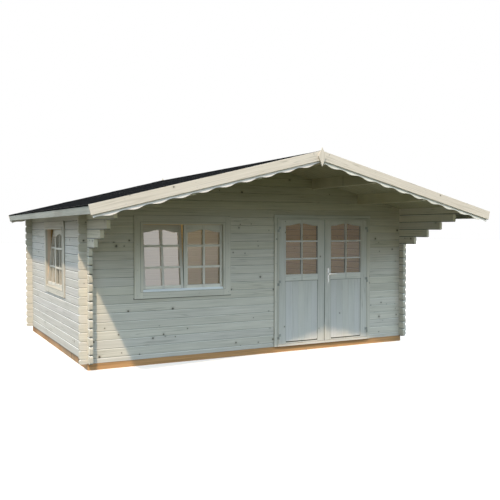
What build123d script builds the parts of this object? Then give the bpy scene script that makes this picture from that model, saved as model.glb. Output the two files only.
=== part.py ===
from build123d import *
import os
from math import cos, radians, sin, tan

# A garden log cabin: interlocking wall logs on a beam base, a low felted gable roof that runs
# far out over the front, a glazed double door and two double windows.
# Millimetres. +Z is up, the front faces -Y, and the origin is on the ground, in the middle of
# the roof's plan. Heights are counted from the ground.

os.makedirs("parts", exist_ok=True)

# ---------------------------------------------------------------- driving dimensions
# Log walls
house_width = 5100.0        # over the outer faces of the side walls
house_depth = 3900.0        # over the outer faces of the front and back walls
log_thickness = 44.0
log_pitch = 114.0           # height of one log once laid
groove = 6.0                # depth of the V between two logs
groove_above = 7.0          # height of the undercut at the foot of each log
groove_below = 6.0          # height of the bevel at its top
stub = 105.0                # what a log runs on past the corner
log_end_radius = 32.0       # rounding of a log's end, above and below
log_end_turn = 82.0         # degrees of that rounding
corbel_end_radius = 17.0    # the same on the logs that step out under the roof
wall_courses = 13           # side logs below the ones that step out under the roof
corbel_courses = 4          # side logs that step out, below the top one
corbel_first = 355.0        # how far the lowest of them runs past the front wall
corbel_step = 278.0         # how much further each next one runs
eave_course = wall_courses + corbel_courses

# Base and floor
base_height = 87.0
base_width = 60.0
base_setback = 6.0          # the beams stand back under the logs
joist_bays = 10
floor_thickness = 19.0
floor_board = 96.0          # covering width of one board
floor_gap = 3.0             # expansion gap along the walls
board_groove = 3.0

# Roof
roof_angle = 13.9           # degrees
top_log_height = 95.0       # of the bevelled log under the eaves, at its outer face
side_overhang = 358.0
front_overhang = 1500.0
back_overhang = 200.0
barge_height = 120.0
barge_thickness = 18.0
barge_chamfer = 5.0
barge_proud = 2.0           # the barge boards stand this much above the felt
felt_thickness = 4.0
felt_hem = 12.0             # what the felt turns down over the eave board
roof_board_thickness = 19.0
roof_board = 96.0
eave_height = 95.0
eave_thickness = 18.0
eave_step = 8.0             # the upper half of the eave board stands back
scallop_thickness = 16.0
scallop_depth = 154.0       # middle of the wavy edge, below the top of the barge board
scallop_wave = 11.0         # half the height of the wave
scallop_period = 283.0
scallop_first = 232.0       # from the ridge to the first hanging lobe, down the slope
purlin_thickness = 44.0
purlin_height = 140.0
purlin_spacing = 850.0
finial_width = 110.0
finial_height = 235.0
finial_thickness = 18.0
finial_drop = 71.5          # widest part of the finial below the top of the barge boards
finial_rise = 108.5         # top of the finial above its widest part

# Window and door casings
trim_thickness = 18.0
casing_proud = 22.0         # casings stand this much out of the wall, past the trim
window_width = 1168.0       # clear, inside the casing
window_height = 865.0
window_casing = 32.0
window_trim = 85.0
front_window_x = -1231.0
front_window_head = 101.0   # top of the clear opening below the top of the door frame
side_window_head = 166.0
sill_drop = 29.0            # how far the sill slopes down from the sash to its front edge
sash_thickness = 40.0
sash_setback = 27.0         # behind the face of the casing
sash_gap = 4.0
sash_stile = 38.0
sash_closing_stile = 55.0   # of the right sash, where it closes against the left one
sash_top_rail = 102.0       # at the corners of the arched head
sash_bottom_rail = 42.0
sash_arch = 37.0
sash_middle_pane = 290.0
sash_tilt = 6.0             # degrees; the left sash of each window stands tilted into the room

door_x = 1042.0             # middle of the double door
door_width = 1594.0         # clear, between the jambs
door_casing = 22.0
door_trim = 44.0
threshold_height = 30.0
threshold_proud = 28.0
stop_reach = 15.0
leaf_thickness = 40.0
leaf_gap = 5.0              # to the jambs, the head and the stops
leaf_sill_gap = 6.0
leaf_meeting_gap = 10.0
leaf_stile = 117.0
leaf_top_rail = 85.0        # at the corners of the arched head
leaf_bottom_rail = 35.0
lock_rail = 100.0
lock_rail_bottom = 950.0    # above the base
leaf_arch = 35.0
leaf_middle_pane = 260.0
meeting_strip_width = 30.0
meeting_strip_thickness = 8.0
panel_thickness = 22.0
panel_setback = 8.0
panel_boards = 5
bar_width = 28.0            # glazing bars of the windows
leaf_bar_width = 22.0       # and of the door
glass_setback = 30.0        # middle of the glass behind the face of its sash
leaf_glass_setback = 18.0   # and behind the face of its door leaf
glass_thickness = 4.0
glass_bite = 10.0           # how far the glass reaches into its frame

# Hinges and handle
hinge_count = 3
hinge_low = 109.0           # middle of the lowest hinge, above the foot of the leaf
hinge_high = 139.0          # middle of the highest hinge, below the top of the leaf
knuckle_radius = 7.0
knuckle_height = 38.0
hinge_offset = 10.0         # hinge pin in front of the leaf's face
hinge_wing = 34.0
hinge_wing_thickness = 2.5
hinge_pin_radius = 4.0
hinge_pin_reach = 28.0      # how far the pin goes up into the leaf's knuckle
hinge_clearance = 0.1
knuckle_gap = 0.8
handle_inset = 66.0         # spindle, from the free edge of the right leaf
handle_height = 1040.0      # above the base
plate_width = 28.0
plate_height = 220.0
plate_rise = 20.0           # middle of the plate below the spindle
plate_thickness = 3.0
spindle_radius = 4.5
spindle_clearance = 0.1
spindle_bore_radius = 9.0   # hole through the stile
neck_radius = 9.0
neck_length = 34.0
neck_gap = 0.5
lever_length = 118.0
lever_radius = 8.0

# ---------------------------------------------------------------- derived places
front_face = front_overhang - (front_overhang + house_depth + back_overhang) / 2
back_face = front_face + house_depth
half_width = house_width / 2
half_length = (front_overhang + house_depth + back_overhang) / 2
slope = radians(roof_angle)
slope_length = (half_width + side_overhang) / cos(slope)
board_end = slope_length - eave_thickness
felt_top = barge_proud
deck_top = felt_top + felt_thickness
deck_bottom = deck_top + roof_board_thickness
under_barge = half_length - barge_thickness
under_scallop = under_barge - scallop_thickness
wall_top = base_height + eave_course * log_pitch + top_log_height
ridge_top = wall_top + half_width * tan(slope) + deck_bottom / cos(slope)
gable_course = eave_course
gable_bottom = base_height + (gable_course - 0.5) * log_pitch
crossing = log_pitch / 4
reach = 2 * (house_width + house_depth)     # longer than anything here, for cuts
front_window_sill = gable_bottom - front_window_head - window_height
side_window_sill = gable_bottom - side_window_head - window_height

leaf_width = (door_width - 2 * leaf_gap - leaf_meeting_gap) / 2
leaf_bottom = base_height + threshold_height + leaf_sill_gap
leaf_top = gable_bottom - door_casing - leaf_gap
leaf_height = leaf_top - leaf_bottom
leaf_face = front_face - casing_proud
leaf_back = leaf_face + leaf_thickness
stop_face = leaf_back + leaf_gap


def save(name, shape):
    """Write one named piece."""
    export_step(shape, f"parts/{name}.step")


def box(x0, x1, y0, y1, z0, z1):
    """A straight block between two corners."""
    middle = Pos((x0 + x1) / 2, (y0 + y1) / 2, (z0 + z1) / 2)
    return middle * Box(x1 - x0, y1 - y0, z1 - z0)


def oblong(u0, u1, v0, v1):
    """A flat rectangle between two corners."""
    return Pos((u0 + u1) / 2, (v0 + v1) / 2) * Rectangle(u1 - u0, v1 - v0)


def outline(*points):
    """A flat straight-sided face."""
    return make_face(Polyline(*points, close=True))


def along_y(sketch, y0, y1):
    """Stand a front view, x across and z up, between two planes facing the front."""
    return extrude(Pos(0, y1, 0) * (Plane.XZ * sketch), y1 - y0)


def along_x(sketch, x0, x1):
    """Stand a side view, y across and z up, between two planes facing the side."""
    return extrude(Pos(x0, 0, 0) * (Plane.YZ * sketch), x1 - x0)


# ---------------------------------------------------------------- log walls
def log_view(start, end, bottom, top, end_radius=log_end_radius):
    """Side view of one log, its ends rounded above and below."""
    height = top - bottom
    radius = min(end_radius, height / 2)
    swell = radius * (1 - sin(radians(log_end_turn)))
    rounded = RectangleRounded(end - start, height + 2 * swell, radius)
    log = rounded & Rectangle(end - start, height)
    return Pos((start + end) / 2, (bottom + top) / 2) * log


def log_section(joints):
    """Section across a wall: two flat faces with a V at each joint."""
    outer = [(0, base_height)]
    for joint in joints:
        outer.append((0, joint - groove_below))
        outer.append((groove, joint))
        outer.append((0, joint + groove_above))
    outer.append((0, ridge_top + log_pitch))
    inner = [(log_thickness - across, height) for across, height in reversed(outer)]
    return outline(*outer, *inner)


def front_band(course):
    """Bottom and top of a log in the front or back wall, which starts with half a log."""
    bottom = max(base_height, base_height + (course - 0.5) * log_pitch)
    return bottom, base_height + (course + 0.5) * log_pitch


def side_band(course):
    """Bottom and top of a log in a side wall."""
    bottom = base_height + course * log_pitch
    return bottom, bottom + log_pitch


def crossings(low, high, first, last):
    """Slots where the logs of the other wall pass, at two corners, for courses of one wall."""
    slots = []
    for course in range(first, last):
        centre = base_height + course * log_pitch
        for start in (low, high - log_thickness):
            slots.append(oblong(start, start + log_thickness, centre - crossing, centre + crossing))
    return Sketch() + slots


def wall_under_roof():
    """The space below the roof boards, seen from the front."""
    def under(x):
        return ridge_top - deck_bottom / cos(slope) - abs(x) * tan(slope)
    return outline((-reach, -reach), (reach, -reach), (reach, under(reach)), (0, under(0)),
                   (-reach, under(reach)))


under_roof = wall_under_roof()
top_course = int((ridge_top - base_height) / log_pitch) + 1
front_joints = [front_band(course)[1] for course in range(top_course)]
side_joints = [side_band(course)[1] for course in range(eave_course)]


def front_logs(first, last, start, end):
    """Front view of a stack of logs of the front or back wall."""
    return Sketch() + [log_view(start, end, *front_band(course)) for course in range(first, last)]


def front_slots():
    """Where the side logs pass through the front and back walls."""
    slots = []
    for course in range(gable_course + 1):
        bottom = base_height + course * log_pitch + crossing
        top = bottom + 2 * crossing
        if course == gable_course:
            top = ridge_top
        for start in (-half_width, half_width - log_thickness):
            slots.append(oblong(start, start + log_thickness, bottom, top))
    return Sketch() + slots


def cut_front_wall(view, face):
    """Thicken a front view into a grooved log wall whose outer or inner face is at y = face."""
    section = Pos(0, face, 0) * (Plane.YZ * log_section(front_joints))
    stack = extrude(section, reach, both=True)
    return along_y(view, face, face + log_thickness) & stack


def cut_side_wall(view, face):
    """Thicken a side view into a grooved log wall that starts at x = face."""
    section = Pos(face, 0, 0) * (Plane.XZ * log_section(side_joints))
    stack = extrude(section, reach, both=True)
    return along_x(view, face, face + log_thickness) & stack


def window_hole(centre, sill):
    """The hole that a window's casing fills."""
    half = window_width / 2 + window_casing
    return oblong(centre - half, centre + half, sill - window_casing,
                  sill + window_height + window_casing)


wall_end = half_width + stub
slots_front = front_slots()
front_view = front_logs(0, gable_course, -wall_end, wall_end) - slots_front
back_wall_face = back_face - log_thickness
door_hole_left = door_x - door_width / 2 - door_casing
door_hole_right = door_x + door_width / 2 + door_casing

left_part = front_view & oblong(-reach, door_hole_left, 0, gable_bottom)
left_part -= window_hole(front_window_x, front_window_sill)
right_part = front_view & oblong(door_hole_right, reach, 0, gable_bottom)
save("front_wall_left", cut_front_wall(left_part, front_face))
save("front_wall_right", cut_front_wall(right_part, front_face))
save("back_wall", cut_front_wall(front_view, back_wall_face))

purlin_places = [side * count * purlin_spacing for side in (-1, 1) for count in (1, 2)]


def purlin_view(x):
    """Front view of a purlin, its top bevelled to the roof boards."""
    top = ridge_top - deck_bottom / cos(slope) - abs(x) * tan(slope)
    side = purlin_thickness / 2
    upright = oblong(x - side, x + side, top - purlin_height, ridge_top)
    return upright & under_roof


def gable_view():
    """Front view of the logs over the walls, cut to the roof and let in round the purlins."""
    inside = half_width - log_thickness
    lowest = log_view(-wall_end, wall_end, *front_band(gable_course)) - slots_front
    upper = oblong(-inside, inside, front_band(gable_course)[1], ridge_top)
    view = (lowest + upper) & under_roof
    for x in [0] + purlin_places:
        view -= purlin_view(x)
    return view - window_hole(front_window_x, front_window_sill)


gable = gable_view()
save("front_gable", cut_front_wall(gable, front_face))
save("back_gable", cut_front_wall(gable, back_wall_face))

side_start = front_face - stub
side_end = back_face + stub
slots_side = crossings(front_face, back_face, 0, eave_course + 1)
side_middle = (front_face + back_face) / 2
side_view = Sketch() + [log_view(side_start, side_end, *side_band(c)) for c in range(wall_courses)]
side_view -= slots_side
left_view = side_view - window_hole(side_middle, side_window_sill)
save("left_wall", cut_side_wall(left_view, -half_width))
save("right_wall", cut_side_wall(side_view, half_width - log_thickness))


def eave_view():
    """Side view of the upper side logs, which step out under the front of the roof."""
    logs = []
    for count in range(corbel_courses):
        start = front_face - corbel_first - count * corbel_step
        band = side_band(wall_courses + count)
        stepped = log_view(start, side_end, *band, corbel_end_radius)
        logs.append(stepped & log_view(start - log_pitch, side_end, *band))
    bottom = side_band(eave_course)[0]
    logs.append(oblong(-under_scallop, under_scallop, bottom, ridge_top))
    return Sketch() + logs - slots_side


eave_logs = eave_view()
roof_space = along_y(under_roof, -reach, reach)
left_eave_view = eave_logs - window_hole(side_middle, side_window_sill)
save("left_eave_logs", cut_side_wall(left_eave_view, -half_width) & roof_space)
save("right_eave_logs", cut_side_wall(eave_logs, half_width - log_thickness) & roof_space)

# ---------------------------------------------------------------- base and floor
beam_start = front_face + base_setback
beam_end = back_face - base_setback
beam_side = half_width - base_setback
front_beam = box(-beam_side, beam_side, beam_start, beam_start + base_width, 0, base_height)
back_beam = box(-beam_side, beam_side, beam_end - base_width, beam_end, 0, base_height)
save("base_long_beams", Part() + [front_beam, back_beam])

joists = []
joist_start = beam_start + base_width
joist_end = beam_end - base_width
for count in range(joist_bays + 1):
    middle = (2 * count / joist_bays - 1) * (beam_side - base_width / 2)
    joists.append(box(middle - base_width / 2, middle + base_width / 2, joist_start, joist_end,
                      0, base_height))
save("base_cross_beams", Part() + joists)


def board_section(length, thickness, board):
    """Edge view of boards side by side along a length, with a V at each joint on the show face.

    The show face is up; the first board starts in the middle of the length.
    """
    count = int(length / 2 / board)
    joints = [place * board for place in range(-count, count + 1)]
    points = [(-length / 2, 0), (-length / 2, thickness)]
    for joint in joints:
        if abs(joint) + 2 * board_groove < length / 2:
            points.append((joint - board_groove, thickness))
            points.append((joint, thickness - board_groove))
            points.append((joint + board_groove, thickness))
    points.append((length / 2, thickness))
    points.append((length / 2, 0))
    return outline(*points)


floor_width = house_width - 2 * (log_thickness + floor_gap)
floor_depth = house_depth - 2 * (log_thickness + floor_gap)
floor_view = board_section(floor_depth, floor_thickness, floor_board)
floor_view = Pos(side_middle, base_height) * floor_view
save("floor_boards", along_x(floor_view, -floor_width / 2, floor_width / 2))


# ---------------------------------------------------------------- roof
def slope_point(down, depth):
    """A point of the right slope: down from the ridge, and square below the barge tops."""
    return (down * cos(slope) - depth * sin(slope),
            ridge_top - down * sin(slope) - depth * cos(slope))


def slope_band(end, top, bottom):
    """A layer of the right slope from a plumb cut at the ridge to a square cut at its end."""
    return outline((0, ridge_top - top / cos(slope)), slope_point(end, top),
                   slope_point(end, bottom), (0, ridge_top - bottom / cos(slope)))


def slope_block(start, end, top, bottom):
    """A square-cut stretch of the right slope."""
    return outline(slope_point(start, top), slope_point(end, top),
                   slope_point(end, bottom), slope_point(start, bottom))


def both_sides(name, right):
    """Save a piece of the right slope and its mirror image on the left."""
    save(f"right_{name}", right)
    save(f"left_{name}", mirror(right, Plane.YZ))


both_sides("purlins", along_y(Sketch() + [purlin_view(x) for x in purlin_places if x > 0],
                              -under_scallop, under_scallop))
save("ridge_purlin", along_y(purlin_view(0), -under_scallop, under_scallop))

deck = along_y(slope_band(board_end, deck_top, deck_bottom), -under_barge, under_barge)
groove_lines = int(under_barge / roof_board)
groove_view = outline((-board_groove, 0), (board_groove, 0), (0, board_groove))
slope_plane = Plane(origin=(0, 0, ridge_top - deck_bottom / cos(slope)),
                    x_dir=(0, 1, 0), z_dir=(cos(slope), 0, -sin(slope)))
board_joints = range(-groove_lines, groove_lines + 1)
board_lines = [Pos(place * roof_board, 0) * groove_view for place in board_joints]
board_cut = extrude(slope_plane * (Sketch() + board_lines), reach / 2, both=True)
both_sides("roof_boards", deck - board_cut)

felt_end = slope_length - eave_step
felt_view = slope_band(felt_end, felt_top, deck_top)
felt_view += slope_block(felt_end, felt_end + felt_thickness, felt_top, deck_top + felt_hem)
both_sides("roof_felt", along_y(felt_view, -under_barge, under_barge))

eave_view_upper = slope_block(board_end, felt_end, deck_top, deck_top + eave_height)
eave_view_lower = slope_block(board_end, slope_length, deck_top + eave_height / 2,
                              deck_top + eave_height)
eave_board = along_y(eave_view_upper + eave_view_lower, -under_barge, under_barge)
save("eave_boards", Part() + [eave_board, mirror(eave_board, Plane.YZ)])


def barge_boards():
    """The two boards of one slope, at the front and the back, with a chamfered lower edge."""
    board = along_y(slope_band(slope_length, 0, barge_height), -half_length, -under_barge)
    low = slope_point(slope_length / 2, barge_height)
    edge = board.edges().sort_by_distance((low[0], -half_length, low[1]))[0]
    board = chamfer(edge, barge_chamfer)
    return Part() + [board, mirror(board, Plane.XZ)]


both_sides("barge_boards", barge_boards())


def scalloped_boards():
    """The wavy boards behind the barge boards of one slope, with a lobe each period."""
    half_period = scallop_period / 2
    arcs = []
    place = scallop_first - half_period / 2 - 2 * half_period
    hanging = 1
    while place < slope_length + half_period:
        start = slope_point(place, scallop_depth)
        middle = slope_point(place + half_period / 2, scallop_depth + hanging * scallop_wave)
        end = slope_point(place + half_period, scallop_depth)
        arcs.append(ThreePointArc(start, middle, end))
        place += half_period
        hanging = -hanging
    first = arcs[0] @ 0
    last = arcs[-1] @ 1
    lift = Vector(0, 2 * scallop_depth)
    sides = Polyline(last, last + lift, first + lift, first)
    wave = make_face(Curve() + arcs + sides)
    view = wave & slope_band(board_end, deck_bottom, 2 * scallop_depth)
    board = along_y(view, -under_barge, -under_scallop)
    return Part() + [board, mirror(board, Plane.XZ)]


both_sides("scalloped_boards", scalloped_boards())

finial_view = outline((0, finial_rise - finial_height), (finial_width / 2, 0), (0, finial_rise),
                      (-finial_width / 2, 0))
finial_view = Pos(0, ridge_top - finial_drop) * finial_view
finial = along_y(finial_view, -half_length - finial_thickness, -half_length)
save("ridge_finials", Part() + [finial, mirror(finial, Plane.XZ)])


# ---------------------------------------------------------------- glazed frames
def arched(width, bottom, spring, rise):
    """A glazed opening centred on x = 0; its head swings from flat shoulders to a flat crown."""
    shoulder = (-width / 2, spring)
    turn = (-width / 4, spring + rise / 2)
    crown = (0, spring + rise)
    swing = TangentArc(shoulder, turn, tangent=(1, 0))
    swing += TangentArc(crown, turn, tangent=(-1, 0))
    head = swing + mirror(swing, Plane.YZ)
    sides = Polyline(shoulder, (-width / 2, bottom), (width / 2, bottom), (width / 2, spring))
    return make_face(head + sides)


def glazing(width, bottom, spring, rise, centre, middle_pane, bar):
    """Front view of the six panes, two across and three up, with the middle ones at a height."""
    bars = oblong(-bar / 2, bar / 2, bottom, spring + rise)
    for height in (centre - middle_pane / 2, centre + middle_pane / 2):
        bars += oblong(-width / 2, width / 2, height - bar / 2, height + bar / 2)
    return arched(width, bottom, spring, rise) - bars


def glass_sheet(width, bottom, top, middle):
    """The sheet of glass behind the bars, set into the frame all round."""
    return box(-width / 2 - glass_bite, width / 2 + glass_bite, middle - glass_thickness / 2,
               middle + glass_thickness / 2, bottom - glass_bite, top + glass_bite)


# ---------------------------------------------------------------- windows
sash_width = (window_width - 3 * sash_gap) / 2
sash_height = window_height - sash_gap
sash_front = sash_setback - casing_proud
sash_spring = sash_height - sash_top_rail


def window_frame():
    """Casing and trims of a double window; y = 0 is the outer face of the wall, z = 0 the sill."""
    clear = oblong(-window_width / 2, window_width / 2, 0, window_height)

    def ring(margin, hole):
        """A frame that reaches a margin past the clear opening."""
        half = window_width / 2 + margin
        return oblong(-half, half, -margin, window_height + margin) - hole

    casing = along_y(ring(window_casing, clear), -casing_proud, log_thickness + casing_proud)
    hole = oblong(-window_width / 2 - window_casing, window_width / 2 + window_casing,
                  -window_casing, window_height + window_casing)
    trim = ring(window_casing + window_trim, hole)
    outside = along_y(trim, -trim_thickness, 0)
    inside = along_y(trim, log_thickness, log_thickness + trim_thickness)
    frame = casing + outside + inside
    slope_off = outline((-casing_proud, -sill_drop), (-casing_proud, 0), (sash_front, 0))
    return frame - along_x(slope_off, -window_width / 2, window_width / 2)


def window_sash(left_stile):
    """One sash, centred on x = 0, standing on z = 0."""
    view = oblong(-sash_width / 2, sash_width / 2, 0, sash_height)
    view -= Pos((left_stile - sash_stile) / 2, 0) * glazing(
        sash_width - left_stile - sash_stile, sash_bottom_rail, sash_spring, sash_arch,
        sash_height / 2, sash_middle_pane, bar_width)
    sash = along_y(view, sash_front, sash_front + sash_thickness)
    return sash - sash_glass(left_stile)


def sash_glass(left_stile):
    """The glass of one sash."""
    sheet = glass_sheet(sash_width - left_stile - sash_stile, sash_bottom_rail,
                        sash_spring + sash_arch, sash_front + glass_setback)
    return Pos((left_stile - sash_stile) / 2, 0, 0) * sheet


def window(name, place):
    """A double window set at a place in a wall, its left sash tilted into the room."""
    save(f"{name}_frame", place * window_frame())
    sideways = (sash_width + sash_gap) / 2
    hinge = Pos(0, sash_front + sash_thickness, 0)
    unhinge = Pos(0, -sash_front - sash_thickness, 0)
    tilted = Pos(-sideways, 0, 0) * hinge * Rot(-sash_tilt, 0, 0) * unhinge
    closed = Pos(sideways, 0, 0)
    left_sash = tilted * window_sash(sash_stile)
    right_sash = closed * window_sash(sash_closing_stile)
    left_glass = tilted * sash_glass(sash_stile)
    right_glass = closed * sash_glass(sash_closing_stile)
    save(f"{name}_sashes", place * (Part() + [left_sash, right_sash]))
    save(f"{name}_glass", place * (Part() + [left_glass, right_glass]))


window("front_window", Pos(front_window_x, front_face, front_window_sill))
window("side_window", Pos(-half_width, side_middle, side_window_sill) * Rot(0, 0, -90))

# ---------------------------------------------------------------- door frame
jamb_out = door_width / 2 + door_casing
inner_face = front_face + log_thickness
head_bottom = gable_bottom - door_casing
trim_out = jamb_out + door_trim
trim_top = gable_bottom + door_trim
floor_top = base_height + floor_thickness


def door_jamb():
    """The right jamb with its stop and its two trims, from the threshold to the head."""
    inner = door_width / 2
    jamb = box(inner, jamb_out, front_face - casing_proud, inner_face, base_height, gable_bottom)
    stop = box(inner - stop_reach, inner, stop_face, inner_face, base_height, head_bottom)
    outside = box(jamb_out, trim_out, front_face - trim_thickness, front_face, base_height,
                  gable_bottom)
    inside = box(jamb_out, trim_out, inner_face, inner_face + trim_thickness, floor_top,
                 gable_bottom)
    lap = box(inner, jamb_out, inner_face, inner_face + trim_thickness, floor_top, gable_bottom)
    return jamb + stop + outside + inside + lap


right_jamb = door_jamb()
left_jamb = mirror(right_jamb, Plane.YZ)
save("door_jambs", Pos(door_x, 0, 0) * (Part() + [left_jamb, right_jamb]))

head = box(-door_width / 2, door_width / 2, front_face - casing_proud, inner_face, head_bottom,
           gable_bottom)
head += box(-door_width / 2, door_width / 2, inner_face, inner_face + trim_thickness, head_bottom,
            gable_bottom)
head += box(-trim_out, trim_out, front_face - trim_thickness, front_face, gable_bottom, trim_top)
head += box(-trim_out, trim_out, inner_face, inner_face + trim_thickness, gable_bottom, trim_top)
head += box(-door_width / 2 + stop_reach, door_width / 2 - stop_reach, stop_face, inner_face,
            head_bottom - stop_reach, head_bottom)
save("door_head", Pos(door_x, 0, 0) * head)

threshold_side = door_width / 2
threshold = box(-threshold_side, threshold_side, front_face - threshold_proud, stop_face,
                base_height, base_height + threshold_height)
threshold += box(-threshold_side + stop_reach, threshold_side - stop_reach, stop_face, inner_face,
                 base_height, base_height + threshold_height + stop_reach)
save("door_threshold", Pos(door_x, 0, 0) * threshold)


# ---------------------------------------------------------------- door leaves
glass_bottom = base_height + lock_rail_bottom + lock_rail - leaf_bottom
glass_width = leaf_width - 2 * leaf_stile
leaf_spring = leaf_height - leaf_top_rail
panel_bottom = leaf_bottom_rail
panel_top = base_height + lock_rail_bottom - leaf_bottom
left_pin_x = door_x - door_width / 2 + leaf_gap / 2
right_pin_x = door_x + door_width / 2 - leaf_gap / 2
pin_y = leaf_face - hinge_offset
hinge_spacing = (leaf_height - hinge_low - hinge_high) / (hinge_count - 1)
hinge_heights = [leaf_bottom + hinge_low + count * hinge_spacing for count in range(hinge_count)]
bore_length = 3 * leaf_thickness            # right through a leaf and its plates


def leaf_frame():
    """Stiles, rails and glazing bars of a leaf, centred on x = 0, with its face at y = 0."""
    view = oblong(-leaf_width / 2, leaf_width / 2, 0, leaf_height)
    view -= oblong(-glass_width / 2, glass_width / 2, panel_bottom, panel_top)
    view -= glazing(glass_width, glass_bottom, leaf_spring, leaf_arch,
                    (glass_bottom + leaf_spring) / 2, leaf_middle_pane, leaf_bar_width)
    return along_y(view, 0, leaf_thickness) - leaf_glass()


def leaf_glass():
    """The glass of a leaf."""
    return glass_sheet(glass_width, glass_bottom, leaf_spring + leaf_arch, leaf_glass_setback)


def leaf_panel():
    """The upright boards below the glass, with a V at each joint inside and outside."""
    board = glass_width / panel_boards
    face = panel_setback
    back = panel_setback + panel_thickness
    panel = box(-glass_width / 2, glass_width / 2, face, back, panel_bottom, panel_top)
    for count in range(1, panel_boards):
        joint = -glass_width / 2 + count * board
        for side, depth in ((face, board_groove), (back, -board_groove)):
            vee = outline((joint - board_groove, side), (joint + board_groove, side),
                          (joint, side + depth))
            panel -= extrude(Pos(0, 0, panel_bottom) * vee, panel_top - panel_bottom)
    return panel


def hinge_plate(end, y0, y1, low):
    """A plate as high as a knuckle, from the pin to a place on either side of it."""
    return box(min(0, end), max(0, end), y0, y1, low, low + knuckle_height)


def bent_wing(side, length, low):
    """The steel of one hinge half: back from the knuckle, then along the wood to one side."""
    wing_start = hinge_offset - hinge_wing_thickness
    web = hinge_plate(side * hinge_wing_thickness, 0, wing_start, low)
    return web + hinge_plate(side * length, wing_start, hinge_offset, low)


def hinge_halves(turn):
    """Frame half and leaf half of the hinges on one side; turn is 1 where the leaf lies to +X."""
    frame_halves = []
    leaf_halves = []
    for height in hinge_heights:
        low = height - knuckle_height - knuckle_gap / 2
        high = height + knuckle_gap / 2
        pin_top = high + hinge_pin_reach
        knuckle = Cylinder(knuckle_radius, knuckle_height)
        pin = Pos(0, 0, (low + pin_top) / 2) * Cylinder(hinge_pin_radius, pin_top - low)
        bore_height = hinge_pin_reach + hinge_clearance
        bore = Cylinder(hinge_pin_radius + hinge_clearance, bore_height)
        frame_half = Pos(0, 0, low + knuckle_height / 2) * knuckle + pin
        frame_halves.append(frame_half + bent_wing(-turn, leaf_gap / 2 + door_casing, low))
        leaf_half = Pos(0, 0, high + knuckle_height / 2) * knuckle
        leaf_half += bent_wing(turn, hinge_wing, high)
        leaf_halves.append(leaf_half - Pos(0, 0, high + bore_height / 2) * bore)
    return frame_halves, leaf_halves


left_frame_halves, left_leaf_halves = hinge_halves(1)
right_frame_halves, right_leaf_halves = hinge_halves(-1)
left_pins = Pos(left_pin_x, pin_y, 0)
right_pins = Pos(right_pin_x, pin_y, 0)
save("door_frame_hinges", Part() + [left_pins * half for half in left_frame_halves]
     + [right_pins * half for half in right_frame_halves])
save("left_leaf_hinges", left_pins * (Part() + left_leaf_halves))
save("right_leaf_hinges", right_pins * (Part() + right_leaf_halves))

left_leaf_x = door_x - (leaf_meeting_gap + leaf_width) / 2
right_leaf_x = door_x + (leaf_meeting_gap + leaf_width) / 2
left_leaf = Pos(left_leaf_x, leaf_face, leaf_bottom)
right_leaf = Pos(right_leaf_x, leaf_face, leaf_bottom)
handle_x = door_x + leaf_meeting_gap / 2 + handle_inset
handle_z = base_height + handle_height
spindle_hole = Pos(handle_x, leaf_face + leaf_thickness / 2, handle_z) * Rot(90, 0, 0)
strip = box(door_x + leaf_meeting_gap / 2, door_x + leaf_meeting_gap / 2 + meeting_strip_width,
            leaf_face - meeting_strip_thickness, leaf_face, leaf_bottom, leaf_top)

right_frame = right_leaf * leaf_frame() + strip
right_frame -= spindle_hole * Cylinder(spindle_bore_radius, bore_length)
save("left_leaf_frame", left_leaf * leaf_frame())
save("right_leaf_frame", right_frame)
save("left_leaf_panel", left_leaf * leaf_panel())
save("right_leaf_panel", right_leaf * leaf_panel())
save("left_leaf_glass", left_leaf * leaf_glass())
save("right_leaf_glass", right_leaf * leaf_glass())


# ---------------------------------------------------------------- handle
def handle_plate(face, thickness):
    """A long plate on one face of the right leaf, with a hole for the spindle."""
    middle = handle_z - plate_rise
    plate = box(handle_x - plate_width / 2, handle_x + plate_width / 2, min(face, face + thickness),
                max(face, face + thickness), middle - plate_height / 2, middle + plate_height / 2)
    return plate - spindle_hole * Cylinder(spindle_radius + spindle_clearance, bore_length)


save("handle_plates", Part() + [handle_plate(leaf_face, -plate_thickness),
                                handle_plate(leaf_back, plate_thickness)])


def door_lever():
    """Two levers joined by the spindle through the leaf; they point to the hinges."""
    between_necks = leaf_thickness + 2 * (plate_thickness + neck_gap)
    lever = spindle_hole * Cylinder(spindle_radius, between_necks)
    for face, out in ((leaf_face - plate_thickness, -1), (leaf_back + plate_thickness, 1)):
        neck_start = face + out * neck_gap
        arm_y = neck_start + out * (neck_length - lever_radius)
        neck = Pos(handle_x, neck_start + out * neck_length / 2, handle_z) * Rot(90, 0, 0)
        lever += neck * Cylinder(neck_radius, neck_length)
        arm = Pos(handle_x + lever_length / 2, arm_y, handle_z) * Rot(0, 90, 0)
        lever += arm * Cylinder(lever_radius, lever_length)
        lever += Pos(handle_x + lever_length, arm_y, handle_z) * Sphere(lever_radius)
    return lever


save("door_lever", door_lever())
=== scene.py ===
"""Looks of the log cabin: wood, felt, glass and metal finishes, the details too fine for the
construction model, a pale floor, lights and the camera. Metres, in the construction's own frame."""
import math
import random

import bmesh
import bpy
from mathutils import Matrix, Vector

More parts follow.
